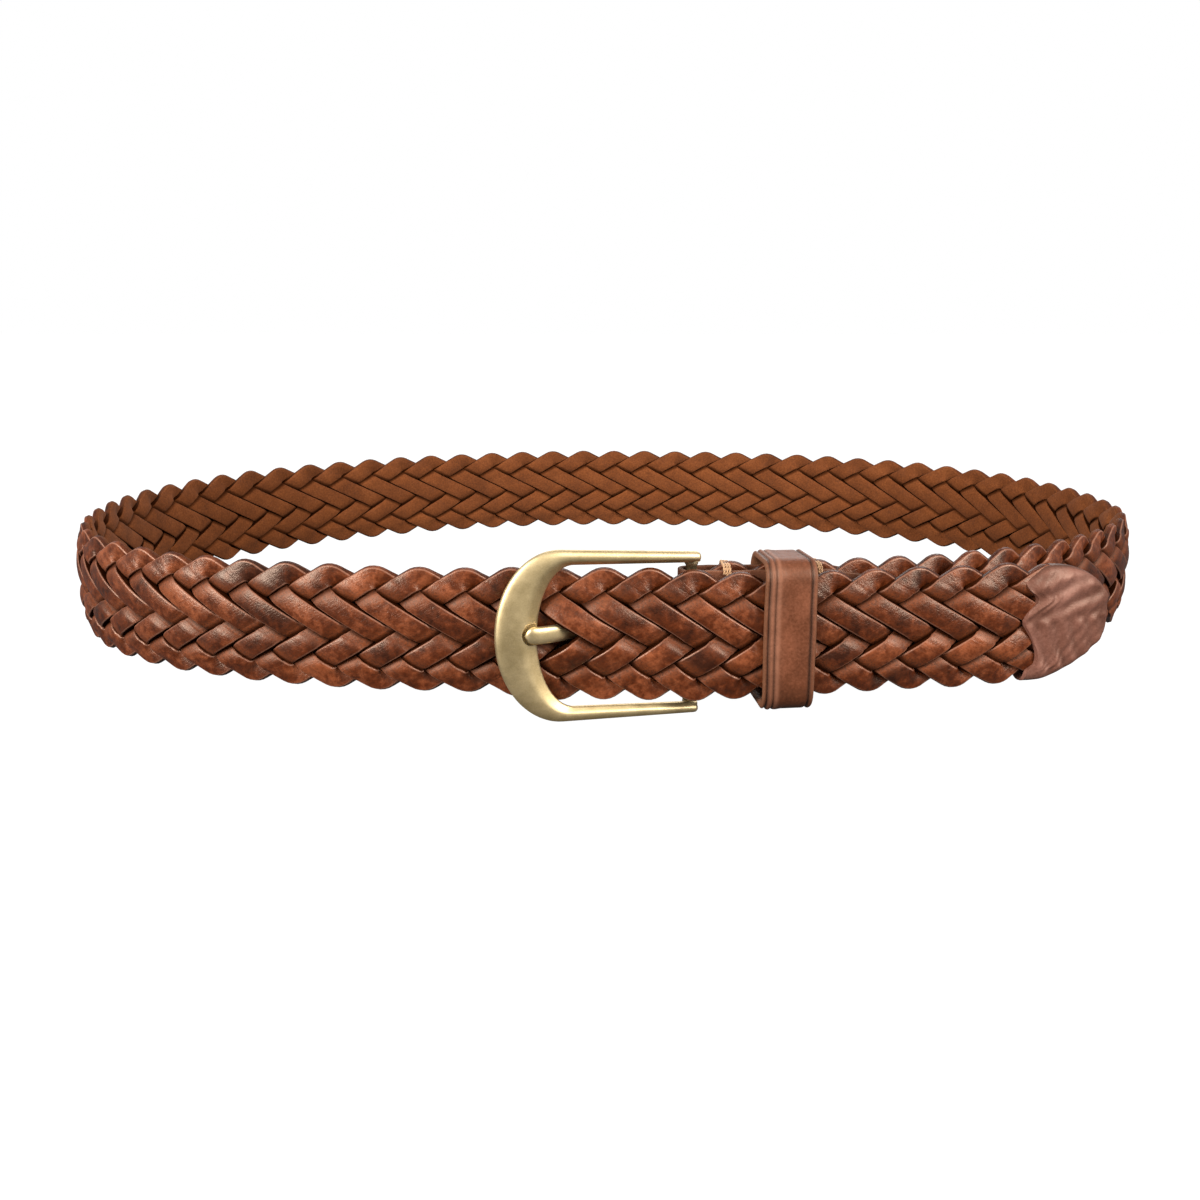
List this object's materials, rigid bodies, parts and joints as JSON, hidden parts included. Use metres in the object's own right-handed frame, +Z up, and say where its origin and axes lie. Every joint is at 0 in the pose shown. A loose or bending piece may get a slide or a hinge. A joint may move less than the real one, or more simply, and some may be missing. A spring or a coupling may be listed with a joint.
{
  "type": "leather belt",
  "caption": "Plaited leather belt fastened as a closed loop on edge: horseshoe buckle frame with heel bar and prong, leather keeper, folded chape and rounded tip tab.",
  "frame": {"origin": "under the middle of the bounding box, on the surface that the belt stands on", "axes": "+X to the right seen from the buckle side, +Y from the buckle towards the back of the loop, +Z up, across the strap's width"},
  "size_m": [0.3554, 0.2602, 0.0476],
  "materials": {
    "braid_leather": "semi-gloss reddish brown grain leather outside, matt flesh side inside",
    "keeper_leather": "semi-matt pebbled brown leather with creased edges",
    "chape_leather": "matt brown leather with raw edges",
    "tab_leather": "wrinkled satin dark brown leather",
    "thread": "twisted light tan thread",
    "buckle_brass": "satin antique brass",
    "bar_brass": "dull dark brass",
    "prong_brass": "satin antique brass"
  },
  "bodies": {
    "strap": {"loop_strand_1": "braid_leather", "loop_strand_2": "braid_leather", "loop_strand_3": "braid_leather", "loop_strand_4": "braid_leather", "loop_strand_5": "braid_leather", "loop_strand_6": "braid_leather", "loop_strand_7": "braid_leather", "loop_strand_8": "braid_leather", "buckle_strand_1": "braid_leather", "buckle_strand_2": "braid_leather", "buckle_strand_3": "braid_leather", "buckle_strand_4": "braid_leather", "buckle_strand_5": "braid_leather", "buckle_strand_6": "braid_leather", "buckle_strand_7": "braid_leather", "buckle_strand_8": "braid_leather", "chape": "chape_leather", "binding_thread_left": "thread", "binding_thread_right": "thread"},
    "tip": {"tip_strand_1": "braid_leather", "tip_strand_2": "braid_leather", "tip_strand_3": "braid_leather", "tip_strand_4": "braid_leather", "tip_strand_5": "braid_leather", "tip_strand_6": "braid_leather", "tip_strand_7": "braid_leather", "tip_strand_8": "braid_leather", "tip_tab_front": "tab_leather", "tip_tab_back": "tab_leather"},
    "keeper": {"keeper": "keeper_leather"},
    "buckle": {"buckle_frame": "buckle_brass", "heel_bar": "bar_brass"},
    "prong": {"prong": "prong_brass"}
  },
  "joints": [
    {"name": "buckle_pivot", "type": "hinge", "parent": "strap", "child": "buckle", "pos_m": [0.02266, -0.11267, 0.0238], "axis": [0, 0, 1], "range_deg": [0, 8], "deforming": ["buckle_strand_1", "buckle_strand_2", "buckle_strand_3", "buckle_strand_4", "buckle_strand_5", "buckle_strand_6", "buckle_strand_7", "buckle_strand_8"]},
    {"name": "prong_pivot", "type": "hinge", "parent": "buckle", "child": "prong", "pos_m": [0.02266, -0.11267, 0.0238], "axis": [0, 0, 1], "range_deg": [0, 4]},
    {"name": "keeper_slide", "type": "slide", "parent": "strap", "child": "keeper", "axis": [-0.9945, -0.1048, 0], "range_m": [0, 0.004]},
    {"name": "tip_flex", "type": "hinge", "parent": "strap", "child": "tip", "pos_m": [0.05611, -0.11781, 0.0247], "axis": [0, 0, -1], "range_deg": [0, 20]}
  ]
}
